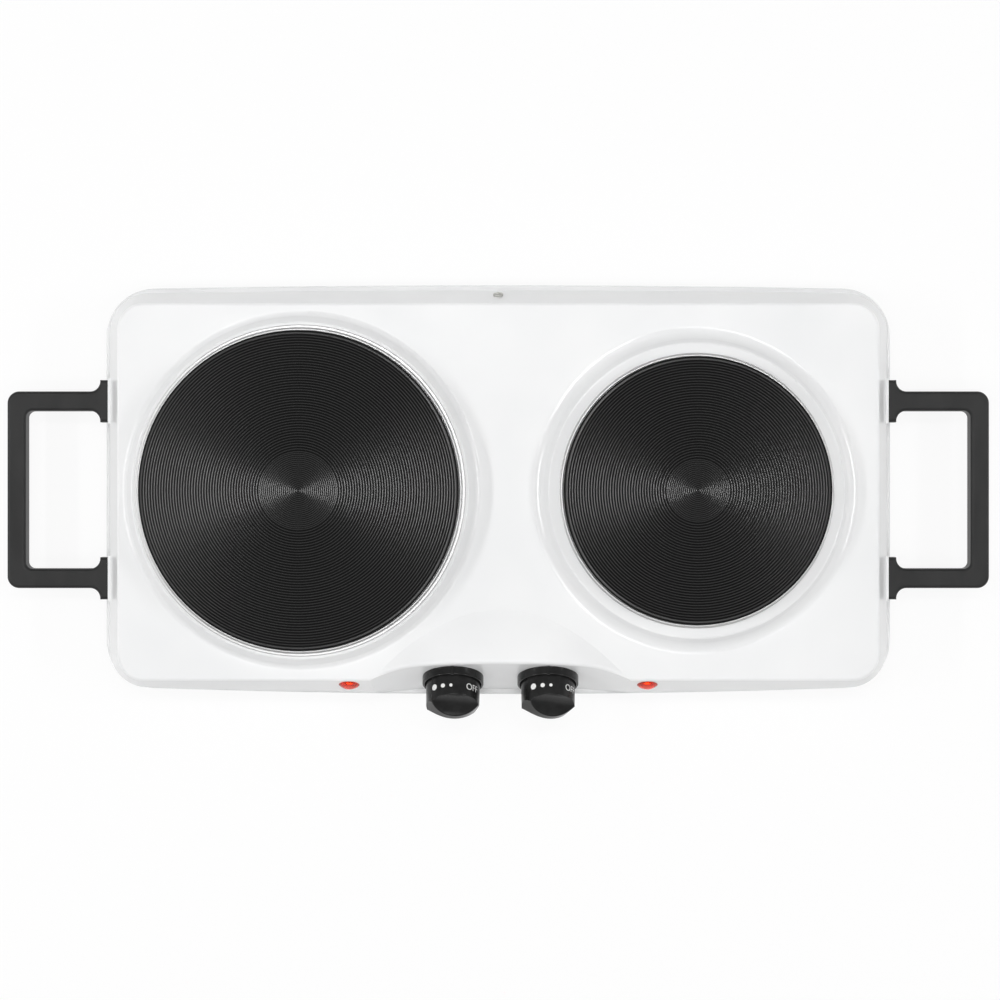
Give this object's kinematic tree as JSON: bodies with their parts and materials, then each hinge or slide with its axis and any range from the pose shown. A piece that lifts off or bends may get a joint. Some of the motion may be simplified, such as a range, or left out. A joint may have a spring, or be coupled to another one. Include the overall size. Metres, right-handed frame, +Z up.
{
  "type": "double electric hot plate",
  "caption": "Free-standing electric hot plate: white enamelled housing with a large and a small cast-iron plate, slanted front panel with turning knobs, pilot lamps and side handles.",
  "frame": {"origin": "middle of the footprint, knobs and handles included, on the surface the feet stand on", "axes": "+X to the right seen from the front, +Y to the rear, +Z up"},
  "size_m": [0.5826, 0.2573, 0.064],
  "materials": {
    "enamel": "gloss white enamel",
    "cast_iron": "black heat-proof coat",
    "trim_steel": "bright rolled steel",
    "handle_plastic": "fine moulded grain",
    "knob_plastic": "semi-gloss moulded",
    "lens_red": "clear red-orange lens",
    "rubber_black": "moulded",
    "zinc_sheet": "zinc-coated sheet",
    "zinc_hardware": "zinc plated",
    "ceramic_white": "unglazed",
    "brass_parts": "rolled strip",
    "coil_alloy": "oxidised resistance alloy",
    "lamp_body": "moulded",
    "bulb_glass": "clear"
  },
  "bodies": {
    "housing": {"base_plate": "zinc_sheet", "base_screws": "zinc_hardware", "body_shell": "enamel", "clamp_nuts": "zinc_hardware", "clamp_washers": "zinc_hardware", "cord_grommet": "rubber_black", "foot_screws": "zinc_hardware", "handle_screws": "zinc_hardware", "lamp_bulbs": "bulb_glass", "large_clamp_bar": "zinc_sheet", "large_heating_coil": "coil_alloy", "large_hot_plate": "cast_iron", "large_insulation": "ceramic_white", "large_plate_cover": "zinc_sheet", "large_terminal_block": "ceramic_white", "large_trim_ring": "trim_steel", "left_handle": "handle_plastic", "left_knob_bezel": "knob_plastic", "left_lamp_holder": "lamp_body", "left_lamp_lens": "lens_red", "left_thermostat_blades": "brass_parts", "left_thermostat_frame": "zinc_sheet", "left_thermostat_insulators": "ceramic_white", "mains_terminal_block": "ceramic_white", "plate_studs": "zinc_hardware", "rear_screw": "zinc_hardware", "right_handle": "handle_plastic", "right_knob_bezel": "knob_plastic", "right_lamp_holder": "lamp_body", "right_lamp_lens": "lens_red", "right_thermostat_blades": "brass_parts", "right_thermostat_frame": "zinc_sheet", "right_thermostat_insulators": "ceramic_white", "rubber_feet": "rubber_black", "small_clamp_bar": "zinc_sheet", "small_heating_coil": "coil_alloy", "small_hot_plate": "cast_iron", "small_insulation": "ceramic_white", "small_plate_cover": "zinc_sheet", "small_terminal_block": "ceramic_white", "small_trim_ring": "trim_steel", "terminal_block_screws": "zinc_hardware", "terminal_pins": "brass_parts", "thermostat_screws": "zinc_hardware"},
    "left_control": {"left_knob": "knob_plastic", "left_thermostat_spindle": "zinc_hardware"},
    "right_control": {"right_knob": "knob_plastic", "right_thermostat_spindle": "zinc_hardware"}
  },
  "joints": [
    {"name": "left_knob_turn", "type": "hinge", "parent": "housing", "child": "left_control", "pos_m": [-0.0267, -0.10468, 0.03289], "axis": [0, -0.8988, 0.4384], "range_deg": [-42, 51.5]},
    {"name": "right_knob_turn", "type": "hinge", "parent": "housing", "child": "right_control", "pos_m": [0.0293, -0.10468, 0.03289], "axis": [0, -0.8988, 0.4384], "range_deg": [-34, 59.5]}
  ]
}
